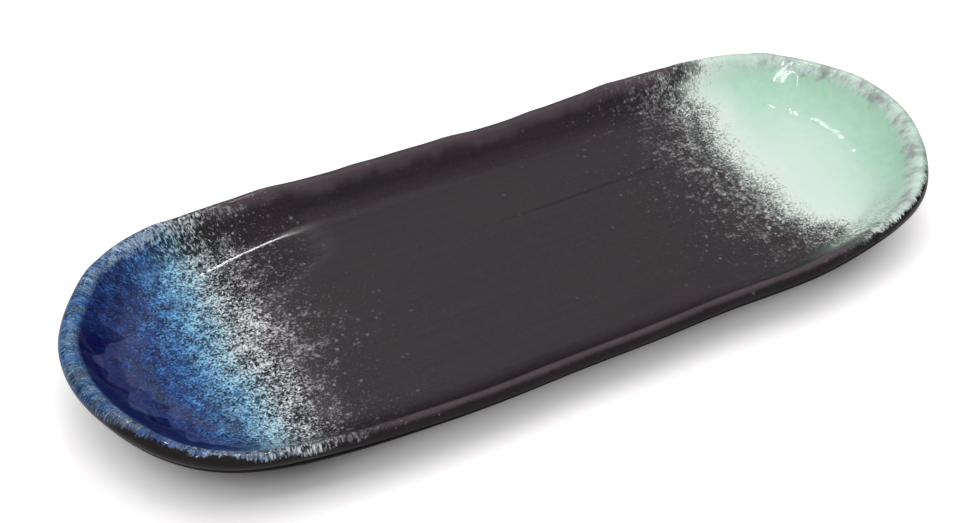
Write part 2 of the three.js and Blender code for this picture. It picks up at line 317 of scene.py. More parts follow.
# Form of the plate, in mm
PLATE_LENGTH = 329
PLATE_WIDTH = 132.2
END_REACH = 85
END_FULLNESS = 2.33
WAIST_DEPTH = 0.7
RIM_HEIGHT = 21.6
RIM_RISE = 7.9
FLOOR_HEIGHT = 11.2
FLOOR_RISE = 4.2
FLOOR_DISH = 0.5
LIP_THICKNESS = 5
CLAY_THICKNESS = 6.4
STRAIGHT_SHARE = 0.7
SIDE_WALL_RUN = 15
END_WALL_RUN = 24
WALL_SLOPE = math.radians(52)
WALL_FILLET = 8
STEEP_SHARE = 0.7
SIDE_WALL_DROP = 2.8
END_WALL_DROP = 8.4
TUCK_SLOPE = math.radians(24)
TUCK_SHARE = 0.5
SIDE_FOOT_INSET = 22
END_FOOT_INSET = 37.5
FOOT_ROOT_WIDTH = 8
FOOT_SEAT_WIDTH = 5
BARE_SEAT_HEIGHT = 1.2
UNDER_BUNCHING = 1.3
# what the paint takes for the depth from the lip: on the floor and the panel under it, and on the foot
FLOOR_DEPTH = 60
FOOT_DEPTH = -60
OUTLINE_WAVES = ((7, 0.3, 70), (10, 0.3, 115), (12, 0.5, 80), (14, 0.25, 120))
RIM_WAVES = ((3, 0.25, 200), (8, 0.15, 40))
# hand-pressed swellings of the lip: share of the way round, half length, height
LIP_SWELLS = (
    (0.02, 11, 0.35), (0.07, 9, 0.5), (0.115, 8, 0.35), (0.16, 12, 0.55), (0.205, 9, 0.3), (0.25, 13, 0.5),
    (0.30, 10, 0.35), (0.345, 14, 0.55), (0.40, 9, 0.4), (0.44, 11, 0.55), (0.485, 9, 0.4), (0.53, 12, 0.5),
    (0.575, 9, 0.35), (0.62, 12, 0.6), (0.67, 10, 0.4), (0.715, 14, 0.6), (0.765, 11, 0.4), (0.81, 15, 0.6),
    (0.86, 9, 0.4), (0.905, 12, 0.55), (0.955, 10, 0.45),
)
BLACK_GLAZE = 0.35
COLOUR_GLAZE = 0.45
COLOUR_POOL = 0.5
POOL_SHARE = 0.6
BLUE_REACH = 57
MINT_REACH = 62
MINT_BULGE = 13
FADE_LENGTH = 24
COLOUR_EDGE = 0.012

# How finely the visible surfaces are divided
END_STEPS = 64
SIDE_STEPS = 72
LIP_STEPS = 8
WALL_STEPS = 16
UNDER_STEPS = 12
FLOOR_ROWS = 32
PANEL_ROWS = 12

HALF_LENGTH = PLATE_LENGTH / 2
HALF_WIDTH = PLATE_WIDTH / 2
HALF_TURN = 2 * END_STEPS + SIDE_STEPS
COUNT = 2 * HALF_TURN
STATIONS = np.arange(COUNT)


def smooth(value, low, high):
    share = np.clip((value - low) / (high - low), 0, 1)
    return share * share * (3 - 2 * share)


def mix(a, b, share):
    return a + (b - a) * share


def oblong(half_length, half_width, reach, station):
    """Points of a rounded oblong, counted from the tip at +X round the +Y side."""
    station = np.mod(station, COUNT)
    turn = np.minimum(station, COUNT - station)
    side = np.where(station <= HALF_TURN, 1, -1)
    from_tip = np.minimum(turn, HALF_TURN - turn)
    end = np.where(turn < HALF_TURN / 2, 1, -1)
    angle = np.clip(from_tip / END_STEPS, 0, 1) * np.pi / 2
    half_side = half_length - reach
    power = 2 / END_FULLNESS
    along = end * (half_side + reach * np.maximum(np.cos(angle), 0) ** power)
    across = half_width * np.sin(angle) ** power
    share = np.clip(1 - 2 * (turn - END_STEPS) / SIDE_STEPS, -1, 1)
    on_side = from_tip >= END_STEPS
    x = np.where(on_side, half_side * share, along)
    y = np.where(on_side, half_width - WAIST_DEPTH * np.cos(share * np.pi / 2) ** 2, across)
    return np.stack([x, side * y], -1)


def rim_at(station):
    return oblong(HALF_LENGTH, HALF_WIDTH, END_REACH, station)


def foot_at(inwards):
    half_width = HALF_WIDTH - SIDE_FOOT_INSET - inwards
    return oblong(
        HALF_LENGTH - END_FOOT_INSET - inwards,
        half_width,
        END_REACH * half_width / HALF_WIDTH,
        STATIONS,
    )


RIM = rim_at(STATIONS)
STEPS_ALONG = np.linalg.norm(np.roll(RIM, -1, 0) - RIM, axis=1)
RIM_LENGTH = STEPS_ALONG.sum()
RIM_SHARE = np.concatenate([[0], np.cumsum(STEPS_ALONG)[:-1]]) / RIM_LENGTH


def wave(waves):
    return sum(
        size * np.sin(2 * np.pi * turns * RIM_SHARE + math.radians(start))
        for turns, size, start in waves
    )


def end_share(x):
    return smooth(np.abs(x), STRAIGHT_SHARE * (HALF_LENGTH - END_REACH), HALF_LENGTH)


def rise_share(x):
    return (x / HALF_LENGTH) ** 2


def floor_at(x):
    return FLOOR_HEIGHT + FLOOR_RISE * rise_share(x)


def under_at(x):
    return floor_at(x) - CLAY_THICKNESS


def plan():
    """The wavy outline, and the way inwards from it, at each station."""
    run = rim_at(STATIONS + 0.5) - rim_at(STATIONS - 0.5)
    run /= np.linalg.norm(run, axis=1, keepdims=True)
    inwards = np.stack([-run[:, 1], run[:, 0]], -1)
    rim = RIM - inwards * wave(OUTLINE_WAVES)[:, None]
    return rim, inwards


RIM_LINE, INWARDS = plan()
END_AT = end_share(RIM_LINE[:, 0])
LIP_TOP = RIM_HEIGHT + RIM_RISE * rise_share(RIM_LINE[:, 0]) + wave(RIM_WAVES)

# Finger dents round each end: way along the rim from the tip (mm, + towards +Y), half width, depth
BLUE_DENTS = (
    (-92, 10, 0.3), (-74, 9, 0.4), (-56, 9, 0.4), (-38, 9, 0.5), (-22, 7, 0.2), (-8, 8, 0.5),
    (11, 8, 0.6), (28, 7, 0.3), (44, 8, 0.6), (62, 9, 0.4), (84, 10, 0.3),
)
MINT_DENTS = (
    (-84, 10, 0.3), (-62, 9, 0.4), (-40, 9, 0.4), (-20, 8, 0.4), (0, 8, 0.5), (19, 8, 0.5),
    (38, 7, 0.8), (55, 9, 0.5), (75, 9, 0.3),
)


def dents():
    """Depth of the finger dents at each station."""
    depth = np.zeros(COUNT)
    way = RIM_SHARE * RIM_LENGTH
    from_mint = (way + RIM_LENGTH / 2) % RIM_LENGTH - RIM_LENGTH / 2
    from_blue = -(way - RIM_LENGTH / 2)
    for dents_there, place in ((MINT_DENTS, from_mint), (BLUE_DENTS, from_blue)):
        for centre, half, size in dents_there:
            depth += size * np.cos(np.pi / 2 * np.clip((place - centre) / half, -1, 1)) ** 2
    return depth


DENTS = dents()


def lip_swell():
    """How far the lip stands above and beyond the even one, at each station."""
    swell = np.zeros(COUNT)
    for share, half, size in LIP_SWELLS:
        gap = np.abs(RIM_SHARE - share)
        gap = np.minimum(gap, 1 - gap) * RIM_LENGTH
        swell += size * np.cos(math.pi / 2 * np.clip(gap / half, 0, 1)) ** 2
    return swell


LIP_SWELL = lip_swell()


def cubic(a, b, c, d, share):
    rest = 1 - share
    return rest ** 3 * a + 3 * rest ** 2 * share * b + 3 * rest * share ** 2 * c + share ** 3 * d


def wall_section():
    """Distance in from the rim and height, for each ring and station from the lip to the floor."""
    radius = LIP_THICKNESS / 2
    rings = []
    for step in range(LIP_STEPS + 1):
        angle = mix(math.pi, math.pi / 2 - WALL_SLOPE, step / LIP_STEPS)
        inset = np.full(COUNT, radius * (1 + math.cos(angle))) - LIP_SWELL * math.sin(angle) / 2
        rings.append((inset, LIP_TOP + LIP_SWELL * math.sin(angle) - radius * (1 - math.sin(angle))))
    shoulder_in, shoulder_up = rings[-1]
    run = mix(SIDE_WALL_RUN, END_WALL_RUN, END_AT)
    foot = RIM_LINE + INWARDS * (LIP_THICKNESS + run)[:, None]
    base_in, base_up = LIP_THICKNESS + run, floor_at(foot[:, 0])
    drop = STEEP_SHARE * (shoulder_up - base_up)
    steep_in = shoulder_in + drop / math.tan(WALL_SLOPE) - DENTS
    steep_up = shoulder_up - drop - DENTS
    hollow_in = base_in - WALL_FILLET - DENTS
    for step in range(1, WALL_STEPS + 1):
        share = step / WALL_STEPS
        rings.append((
            cubic(shoulder_in, steep_in, hollow_in, base_in, share),
            cubic(shoulder_up, steep_up, base_up, base_up, share),
        ))
    return rings


# The net of points over the clay: place, and the distance down the section from the lip
places = []
depths = []


def add_points(points, depth):
    first = sum(len(p) for p in places)
    places.append(np.asarray(points, float))
    depths.append(np.broadcast_to(depth, len(points)).astype(float))
    return first + np.arange(len(points))


def on_plan(inset, height):
    flat = RIM_LINE + INWARDS * inset[:, None]
    return np.column_stack([flat, height])


def add_top_rings():
    rings, way, last = [], np.zeros(COUNT), None
    for inset, height in wall_section():
        points = on_plan(inset, height)
        if last is not None:
            way = way + np.linalg.norm(points - last, axis=1)
        last = points
        rings.append(add_points(points, way))
    return rings


def place_of(numbers):
    return np.concatenate(places)[numbers]


def add_under_rings(lip_ring):
    start = place_of(lip_ring)
    foot = foot_at(0)
    end = np.column_stack([foot, under_at(foot[:, 0])])
    flat = start[:, :2] - foot
    reach = np.linalg.norm(flat, axis=1)
    tuck = TUCK_SHARE * reach
    below = start.copy()
    below[:, 2] -= mix(SIDE_WALL_DROP, END_WALL_DROP, rise_share(start[:, 0]))
    belly = end.copy()
    belly[:, :2] += flat / reach[:, None] * tuck[:, None]
    belly[:, 2] += tuck * math.tan(TUCK_SLOPE)
    rings, way, last = [], np.zeros(COUNT), start
    for step in range(1, UNDER_STEPS + 1):
        points = cubic(start, below, belly, end, (step / UNDER_STEPS) ** UNDER_BUNCHING)
        way = way - np.linalg.norm(points - last, axis=1)
        last = points
        rings.append(add_points(points, way))
    return rings


def add_foot_ring(inwards, height):
    flat = foot_at(inwards)
    up = height(flat[:, 0]) if callable(height) else np.full(COUNT, float(height))
    return add_points(np.column_stack([flat, up]), FOOT_DEPTH)


def add_columns(ring, rows, bend, height):
    """Columns of points across the plate, from the +Y side of a ring to its -Y side."""
    columns = []
    for turn in range(HALF_TURN + 1):
        facing = (COUNT - turn) % COUNT
        if turn in (0, HALF_TURN):
            columns.append(np.array([ring[turn]]))
            continue
        far, near = place_of([ring[turn], ring[facing]])
        share = np.arange(1, rows)[:, None] / rows
        middle = mix(far, near, share)
        across = 1 - 2 * share[:, 0]
        middle[:, 0] += bend(middle[:, 0], across)
        middle[:, 2] = height(middle[:, 0], across)
        numbers = add_points(middle, FLOOR_DEPTH)
        columns.append(np.concatenate([[ring[turn]], numbers, [ring[facing]]]))
    return columns


def band(outer, inner):
    after = np.roll(outer, -1), np.roll(inner, -1)
    return np.concatenate([
        np.column_stack([outer, after[0], after[1]]),
        np.column_stack([outer, after[1], inner]),
    ])


def chain(rings):
    return np.concatenate([band(a, b) for a, b in zip(rings, rings[1:])])


def across_faces(columns):
    faces = []
    for right, left in zip(columns, columns[1:]):
        rows = max(len(right), len(left)) - 1
        right = np.resize(right, rows + 1) if len(right) > 1 else np.repeat(right, rows + 1)
        left = np.resize(left, rows + 1) if len(left) > 1 else np.repeat(left, rows + 1)
        if right[0] != right[1]:
            faces.append(np.column_stack([right[:-1], left[1:], right[1:]]))
        if left[0] != left[1]:
            faces.append(np.column_stack([right[:-1], left[:-1], left[1:]]))
    return np.concatenate(faces)


def turned(faces):
    return faces[:, ::-1]


def mint_bend(x, across):
    edge = HALF_LENGTH - MINT_REACH
    at_edge = smooth(x, 0, edge) * (1 - smooth(x, edge, HALF_LENGTH))
    return -MINT_BULGE * at_edge * (1 - across ** 2)


top_rings = add_top_rings()
floor_columns = add_columns(
    top_rings[-1], FLOOR_ROWS, mint_bend,
    lambda x, across: floor_at(x) - FLOOR_DISH * (1 - across ** 2),
)
top_faces = np.concatenate([chain(top_rings), across_faces(floor_columns)])

under_rings = add_under_rings(top_rings[0])
seat_taper = (FOOT_ROOT_WIDTH - FOOT_SEAT_WIDTH) / 2
line_taper = seat_taper * (1 - BARE_SEAT_HEIGHT / under_at(0))
root_outer = under_rings[-1]
root_inner = add_foot_ring(FOOT_ROOT_WIDTH, under_at)
line_outer = add_foot_ring(line_taper, BARE_SEAT_HEIGHT)
line_inner = add_foot_ring(FOOT_ROOT_WIDTH - line_taper, BARE_SEAT_HEIGHT)
seat_outer = add_foot_ring(seat_taper, 0)
seat_inner = add_foot_ring(seat_taper + FOOT_SEAT_WIDTH, 0)
panel_columns = add_columns(root_inner, PANEL_ROWS, lambda x, across: 0, lambda x, across: under_at(x))

outside_faces = turned(chain([top_rings[0], *under_rings]))
root_faces = turned(band(root_outer, root_inner))
panel_faces = turned(across_faces(panel_columns))
outer_flank_faces = turned(band(root_outer, line_outer))
inner_flank_faces = turned(band(line_inner, root_inner))
bare_foot_faces = turned(chain([line_outer, seat_outer, seat_inner, line_inner]))

NET = np.concatenate(places)
DEPTH = np.concatenate(depths)


def net_normals():
    faces = np.concatenate([
        top_faces, outside_faces, outer_flank_faces, bare_foot_faces, inner_flank_faces, panel_faces,
    ])
    a, b, c = (NET[faces[:, i]] for i in range(3))
    facing = np.cross(b - a, c - a)
    normals = np.zeros_like(NET)
    for corner in range(3):
        np.add.at(normals, faces[:, corner], facing)
    length = np.linalg.norm(normals, axis=1, keepdims=True)
    return normals / np.where(length == 0, 1, length)


NORMALS = net_normals()


def centring():
    """The CAD model stands with the middle of its box over the origin."""
    outer = NET[np.concatenate([top_rings[0], *under_rings[:2], top_rings[1]])]
    return -(outer.min(0) + outer.max(0))[:2] / 2


SHIFT = np.append(centring(), 0.0)


def wraps():
    """For each point its place round the rim, as a point on a circle as long as the rim, so that
    noise there has no seam, and its depth. Points of the floor and the foot share one place."""
    share = np.zeros(len(NET))
    rings = [*top_rings, *under_rings]
    share[np.concatenate(rings)] = np.tile(RIM_SHARE, len(rings))
    turn = 2 * np.pi * share
    radius = RIM_LENGTH / (2 * np.pi)
    return np.column_stack([radius * np.cos(turn), radius * np.sin(turn), DEPTH])


WRAPS = wraps()


def closed(faces):
    """The faces raised, as point numbers past the net's, the same faces below them turned over,
    and the walls between the two along the open edges."""
    count = len(NET)
    edges = np.concatenate([faces[:, [0, 1]], faces[:, [1, 2]], faces[:, [2, 0]]]).tolist()
    known = {tuple(edge) for edge in edges}
    start, end = np.array([edge for edge in edges if (edge[1], edge[0]) not in known]).T
    split = (start < end)[:, None]
    first = np.where(split, np.column_stack([start, end, end + count]),
                     np.column_stack([start, end, start + count]))
    second = np.where(split, np.column_stack([start, end + count, start + count]),
                      np.column_stack([end, end + count, start + count]))
    return np.concatenate([faces + count, turned(faces), first, second])


def add_piece(name, faces, material, low=None, high=None):
    """A closed coat over faces of the net, from height low to height high above the clay.
    Without heights the faces close by themselves."""
    count = len(NET)
    numbers, index = np.unique(closed(faces) if low else faces, return_inverse=True)
    base = numbers % count
    points = NET[base]
    if low:
        height = np.where(numbers < count, low(base), high(base))
        points = points + NORMALS[base] * height[:, None]
    mesh = bpy.data.meshes.new(name)
    mesh.from_pydata(((points + SHIFT) * MM).tolist(), [], index.reshape(-1, 3).tolist())
    layer = mesh.attributes.new("wrap", "FLOAT_VECTOR", "POINT")
    layer.data.foreach_set("vector", WRAPS[base].astype(np.float32).ravel())
    mesh.shade_smooth()
    mesh.materials.append(material)
    piece = bpy.data.objects.new(name, mesh)
    bpy.context.scene.collection.objects.link(piece)
    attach(piece, "root")
    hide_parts(name)


def flat(value):
    return lambda numbers: np.full(len(numbers), float(value))


def colour_height(edge):
    """Height of a sprayed colour's surface above the clay."""
    def height(numbers):
        place = NET[numbers]
        fade = smooth(np.abs(place[:, 0]) - edge, 0, FADE_LENGTH)
        lip_top = RIM_HEIGHT + RIM_RISE * rise_share(place[:, 0])
        floor = floor_at(place[:, 0])
        low = 1 - smooth(place[:, 2], floor, mix(floor, lip_top, POOL_SHARE))
        return BLACK_GLAZE + mix(COLOUR_EDGE, COLOUR_GLAZE + COLOUR_POOL * low, fade)
    return height


def colour_faces(end, edge):
    """Faces of the top from one end of the plate to the column along the colour's edge."""
    column_x = np.array([NET[column[0], 0] for column in floor_columns])
    last = int(np.argmin(np.abs(end * column_x - edge)))
    turn = np.full(len(NET), -1)
    for ring in top_rings:
        turn[ring] = np.minimum(STATIONS, COUNT - STATIONS)
    for number, column in enumerate(floor_columns):
        turn[column] = number
    within = end * (turn - last) <= 0
    return top_faces[within[top_faces].all(1)]


# Materials
# The surface is painted by place. All places and lengths here are in mm, and a way is how far
# from the middle towards a coloured tip a point is, with a ragged, sprayed edge. The first two
# numbers of a rise are where a mask begins and where it is full, and the next two its values
# there, if they aren't 0 and 1.
SATIN_BLACK = "#251a22"
OUTER_BLACK = "#1a1317"
# where the painted shade line of the slab's fold lies along the floor: y = CREASE_AT + CREASE_SLOPE times
# x, in mm
CREASE_SLOPE = 0.01
CREASE_AT = 20.3
CLUMPING = 0.42
LIP_DRAW = 0.16

# The line that the spray's grain has to rise over to show, by the way
BLUE_LINE = (
    (48, 0.92), (65, 0.84), (75, 0.78), (83, 0.71), (90, 0.66), (97, 0.62), (104, 0.575),
    (111, 0.505), (118, 0.48), (125, 0.515), (133, 0.58), (144, 0.66), (164, 0.70),
)
MINT_LINE = (
    (36, 0.85), (62, 0.74), (76, 0.67), (88, 0.59), (96, 0.51), (102, 0.37), (109, 0.18), (120, 0.08),
)
FAR_WALL_LINE = ((50, -0.05), (84, -0.03), (96, 0.10), (118, 0.10))

# How thickly the loose droplets lie, by the way
BLUE_DROPLETS = ((20, 0.01), (50, 0.08), (66, 0.3), (82, 0.7), (100, 0.8), (130, 0.3))
MINT_DROPLETS = ((-10, 0.01), (36, 0.10), (60, 0.30), (78, 0.6), (92, 0.7), (120, 0.3))

# Colours of a coat, and of what is sprayed on it, by the way
BLUE_COAT = (
    (96, SATIN_BLACK), (105, "#191e20"), (112, "#13252e"), (120, "#102c4c"), (131, "#0e1f50"),
    (146, "#0a143e"), (165, "#0a1238"),
)
BLUE_CLOUDS = (
    (106, SATIN_BLACK), (113, "#1f4a5c"), (122, "#1e558a"), (134, "#1e3b84"), (148, "#1b2a64"),
    (165, "#142254"),
)
BLUE_SPRAY = (
    (50, "#7a757b"), (75, "#99959b"), (88, "#c2bfc4"), (98, "#f0eff3"), (108, "#ecf5fa"),
    (114, "#c4e8f8"), (120, "#a0dafa"), (129, "#68b0ee"), (140, "#3e7ed4"), (160, "#2c5cb4"),
)
MINT_COAT = (
    (84, SATIN_BLACK), (94, "#3a3c3e"), (101, "#8a978f"), (108, "#c4e0d1"), (118, "#d9f2e3"),
    (140, "#d8f3e3"),
)
MINT_SPRAY = (
    (36, "#7a757b"), (70, "#a8a6aa"), (88, "#dcdfde"), (100, "#ecf5ef"), (110, "#e6f7ed"),
    (124, "#dcf4e6"), (150, "#d8f3e3"),
)

# Colours by the value of a noise
BLUE_RUNS = ((0.36, "#04062a"), (0.48, "#0a1046"), (0.56, "#18246c"), (0.66, "#2c4a98"))
NEAR_LIP = (
    (0.28, "#151a24"), (0.40, "#2c3b50"), (0.50, "#4a6080"), (0.61, "#7489a0"), (0.76, "#b3c2c8"),
)
FAR_LIP = (
    (0.28, "#16222e"), (0.40, "#2e4c6c"), (0.50, "#4e7aa8"), (0.61, "#82a9c6"), (0.76, "#c4dae2"),
)
MINT_LIP = (
    (0.36, "#8f9599"), (0.45, "#b3bbbb"), (0.51, "#cedcd6"), (0.57, "#dff2e8"), (0.68, "#e6f8ee"),
)


def drawn(s, at, stretch):
    """The place round the rim and down the section. A small stretch of the depth draws noise
    out down the wall, and none leaves it even from the lip to the floor."""
    return s.join(at.u, at.v, s.times(at.d, stretch))


class Spot:
    """What a painted point knows: its place and the place's x and y, u and v round the rim and d
    down the section from the lip, the ways to both tips, and the masks and unevenness that
    several steps share. Nodes that a material doesn't link cost it nothing."""

    def __init__(self, s):
        metres = s.add("ShaderNodeTexCoord").outputs["Object"]
        scaled = s.add("ShaderNodeVectorMath", {0: metres, 3: 1 / MM}, operation="SCALE")
        self.place = scaled.outputs[0]
        wrap = s.add("ShaderNodeAttribute", attribute_name="wrap").outputs["Vector"]
        self.x, self.y, _ = s.split(self.place)
        self.u, self.v, self.d = s.split(wrap)
        self.add_ways(s)
        self.lip = s.rise(self.d, 8.6, 5.8)
        self.rolled = s.rise(self.d, 10.5, 7.5)
        self.wall = s.rise(self.d, 23, 13)
        self.near = s.rise(self.y, -20, -42)
        self.clump = s.sway(self.place, 5, 2, 0.55)
        self.murk = s.noise(self.place, 4.2, 2, 0.6)
        self.shoal = s.noise(self.place, 11, 2, 0.5)
        self.long = s.noise(drawn(s, self, 0), 12, 2, 0.6)
        streaked = s.join(s.times(self.x, 0.012), s.times(self.y, 0.42), 0.0)
        self.drag = s.noise(streaked, 1.0, 3, 0.6)

    def add_ways(self, s):
        wobble = s.sway(self.place, 24, 2, 0.55)
        self.blue_way = s.minus(s.times(wobble, 14), self.x)
        bend = s.plus(s.rise(s.size(self.y), 26, 52, 0, 13), s.rise(self.y, 36, 50, 0, -7))
        lip_bend = s.plus(s.rise(self.y, -30, -46, 0, 9), s.rise(self.y, 40, 52, 0, 8))
        bend = s.plus(bend, s.times(s.rise(self.d, 14, 7), lip_bend))
        self.mint_way = s.plus(s.minus(self.x, bend), s.times(wobble, 16))
        self.minty = s.rise(self.x, -5, 5)


def dots(s, place, size, low, high, density):
    """Round specks at random places, one at most in each cell, as a mask of soft edges."""
    distance, chance = s.cells(place, size)
    pick, grow, shade = s.split(chance)
    radius = s.blend(s.times(grow, grow), low, high)
    inside = s.rise(s.times(distance, size), s.times(radius, 1.7), s.times(radius, 0.3))
    there = s.rise(pick, s.plus(density, 0.02), s.minus(density, 0.02))
    return s.times(inside, there, s.blend(shade, 0.2, 0.95))


def shaken(s, place, size, amount):
    """The place, moved about a little, so that round specks turn into uneven ones."""
    colour = s.noise(place, size, 1, 0.5, output=1)
    away = s.plus_vector(colour, -0.5)
    move = s.add("ShaderNodeVectorMath", {0: away, 3: amount}, operation="SCALE").outputs[0]
    return s.add("ShaderNodeVectorMath", {0: place, 1: move}, operation="ADD").outputs[0]


def fringe_of(s, at):
    """1 where the colours lie, 0 beyond their ragged end on the outer shoulder of the lip."""
    tip = s.rise(s.size(at.x), 140, 166)
    ends_at = s.blend(s.rise(at.x, 150, 158), s.blend(tip, 2.4, 0.3), -2.5)
    near_tip = s.times(s.rise(at.y, -12, -34), s.rise(at.x, -114, -134, 0, 1.3))
    near_side = s.times(s.rise(at.y, -30, -50), s.rise(at.x, -92, -106), s.rise(at.x, -134, -122, 0, 0.5))
    ends_at = s.minus(s.plus(ends_at, near_tip), near_side)
    drops = s.sway(drawn(s, at, 0.5), 0.8, 2, 0.6)
    slow = s.sway(drawn(s, at, 0), 7, 1, 0.5)
    reach = s.plus(s.minus(at.d, ends_at), s.times(drops, 3.6), s.times(slow, 3))
    return s.rise(reach, -0.4, 0.4)


def fine_grain(s, place):
    """Fine sprayed grain with curls in it: mean 0.5, spread about 0.12."""
    fine = s.noise(place, 0.78, 2, 0.6)
    curl = s.size(s.sway(place, 1.7, 1, 0.5, 0.8))
    return s.plus(fine, s.times(s.minus(0.085, curl), 1.5))


def spray_grain(s, at):
    """Grain of the spray: drawn out down the wall, and in blots where the spray is loose."""
    clumping = s.times(at.clump, CLUMPING)
    grain = s.blend(at.wall, fine_grain(s, at.place), fine_grain(s, drawn(s, at, 0.55)))
    blot = s.sway(s.plus_vector(at.place, 3.1), 1.6, 2, 0.5)
    blots = s.plus(s.times(blot, 1.15), 0.5, clumping)
    return s.blend(s.rise(s.size(at.x), 104, 88, 0, 0.55), s.plus(grain, clumping), blots)


def blue_line(s, at):
    """The blue spray's line. It reaches farther in mid floor and on the lip, and less far along
    the far wall, where it lies thicker by the tip."""
    wider = s.times(s.rise(s.size(s.minus(at.y, 4)), 30, 8, 0, 7), s.rise(at.blue_way, 122, 104))
    line = s.ramp(s.plus(at.blue_way, wider), *BLUE_LINE)
    line = s.plus(line, s.times(at.wall, s.rise(at.y, 24, 48, 0, 0.12)))
    lip_way = s.minus(at.blue_way, s.times(at.near, 18))
    sprayed_lip = s.times(at.rolled, s.rise(lip_way, 72, 92), s.rise(at.blue_way, 150, 130))
    line = s.minus(line, s.times(sprayed_lip, s.blend(s.rise(at.y, 20, 44), 0.05, 0.15)))
    far_wall = s.times(at.wall, s.rise(at.y, 2, 30), s.rise(at.blue_way, 120, 142, 0, 0.11))
    return s.minus(line, far_wall)


def mint_line(s, at):
    """The mint spray's line, which differs on the far and the near wall."""
    line = s.ramp(at.mint_way, *MINT_LINE)
    far_wall = s.times(at.wall, s.rise(at.y, 30, 46), s.ramp(at.mint_way, *FAR_WALL_LINE))
    near_wall = s.times(at.wall, at.near, s.rise(at.mint_way, 74, 92, 0, 0.18))
    return s.minus(s.plus(line, far_wall), near_wall)


def spray_cover(s, at, grain):
    """How much of the sprayed colour shows: a haze round the line and solid peaks above it."""
    line = s.blend(at.minty, blue_line(s, at), mint_line(s, at))
    haze = s.rise(grain, s.minus(line, 0.15), s.plus(line, 0.10), 0, 0.42)
    peaks = s.rise(grain, s.plus(line, 0.03), s.plus(line, 0.20), 0, 0.58)
    return s.plus(haze, peaks)


def droplets(s, at):
    """Loose droplets, big and small, beyond the dense part of the spray."""
    blue_thick = s.ramp(at.blue_way, *BLUE_DROPLETS)
    thick = s.blend(at.minty, blue_thick, s.ramp(at.mint_way, *MINT_DROPLETS))
    uneven = shaken(s, at.place, 0.7, 0.8)
    big = dots(s, uneven, 2.1, 0.18, 0.58, s.times(thick, 0.85))
    small = dots(s, s.plus_vector(uneven, 7.3), 1.0, 0.10, 0.26, thick)
    return s.most(big, s.times(small, 0.7))


def coat_colour(s, at):
    """Colour of the blue and the mint coat under what is sprayed on them."""
    clouds = s.times(s.rise(at.murk, 0.38, 0.66), s.rise(at.blue_way, 104, 114))
    blue = s.coat(clouds, s.tint(at.blue_way, *BLUE_COAT), s.tint(at.blue_way, *BLUE_CLOUDS))
    return s.coat(at.minty, blue, s.tint(at.mint_way, *MINT_COAT))


def spray_colour(s, at):
    """Colour of the specks, greyer on the near and the far lip of the blue end."""
    greyer = s.times(at.rolled, s.rise(s.size(at.y), 24, 46), s.rise(at.blue_way, 152, 122, 0, 0.7))
    blue = s.coat(greyer, s.tint(at.blue_way, *BLUE_SPRAY), "#c9cdd3")
    return s.coat(at.minty, blue, s.tint(at.mint_way, *MINT_SPRAY))


def black_colour(s, at):
    """The black between: drawn-out streaks along the floor, dust, the painted shade of a fold in the slab,
    and a lip painted lighter on top.
    """
    colour = s.coat(s.rise(at.drag, 0.35, 0.7), "#1f161d", "#2d222b")
    tone = s.noise(at.place, 30, 3, 0.55)
    colour = s.coat(s.rise(tone, 0.35, 0.7, 0, 0.5), colour, "#2c1f23")
    dust = s.noise(at.place, 1.3, 3, 0.7)
    colour = s.coat(s.rise(dust, 0.46, 0.66, 0, 0.55), colour, "#352a31")
    # a fold in the slab along the floor, painted as a dark line of shade; the shape has no fold
    off_crease = s.size(s.minus(at.y, s.plus(s.times(at.x, CREASE_SLOPE), CREASE_AT)))
    crease_shade = s.times(s.rise(off_crease, 1.2, 0.2, 0, 0.9), s.rise(at.x, -14, 30), s.rise(at.x, 84, 66))
    colour = s.coat(crease_shade, colour, "#0a0608")
    # the lip's top is painted lighter, here more and there less: partly glaze worn and broken thin over the
    # rim, partly a painted highlight along the crest
    paler_in = s.plus(at.d, s.times(s.minus(at.long, 0.5), 9))
    crest = s.times(s.rise(at.d, 2.5, 4.4), s.rise(paler_in, 11, 6))
    wear_and_sheen = s.rise(s.noise(drawn(s, at, 0.6), 8, 2, 0.5), 0.3, 0.7, 0.7, 0.95)
    colour = s.coat(s.times(crest, wear_and_sheen), colour, "#554950")
    return s.coat(s.rise(at.d, 3.0, 2.2), colour, OUTER_BLACK)


def with_strokes(s, at, colour):
    """Fine short strokes and darker shoals all through the blue."""
    fur = s.noise(at.place, 0.62, 2, 0.7, 0.6)
    bluish = s.times(s.minus(1, at.minty), s.rise(at.blue_way, 108, 124))
    colour = s.coat(s.times(bluish, s.rise(fur, 0.54, 0.70, 0, 0.3)), colour, "#5f92be")
    colour = s.coat(s.times(bluish, s.rise(fur, 0.46, 0.32, 0, 0.45)), colour, "#08102e")
    shoals = s.times(s.rise(at.blue_way, 112, 130), s.rise(at.shoal, 0.5, 0.62, 0, 0.4))
    return s.coat(s.times(bluish, shoals), colour, "#0a1246")


def with_mint_runs(s, at, grain, colour):
    """Mint: greener where it ran down the far wall and round the tip, and down the near wall."""
    stirred = s.times(at.clump, 14)
    by_tip = s.rise(s.plus(at.x, s.times(s.size(at.y), 0.3), stirred), 124, 162)
    by_far_wall = s.rise(s.plus(at.y, stirred), 0, 46, 0, 0.95)
    green = s.times(s.rise(at.mint_way, 102, 124), s.most(by_tip, by_far_wall))
    colour = s.coat(s.times(green, s.rise(at.murk, 0.3, 0.7, 0.6, 0.95)), colour, "#b2e5c4")
    damp = s.times(at.near, s.rise(at.d, 26, 13), s.rise(at.mint_way, 66, 92), s.rise(at.x, 140, 116))
    return s.coat(s.times(damp, s.rise(grain, 0.42, 0.62, 0.6, 0.05)), colour, "#5c9078")


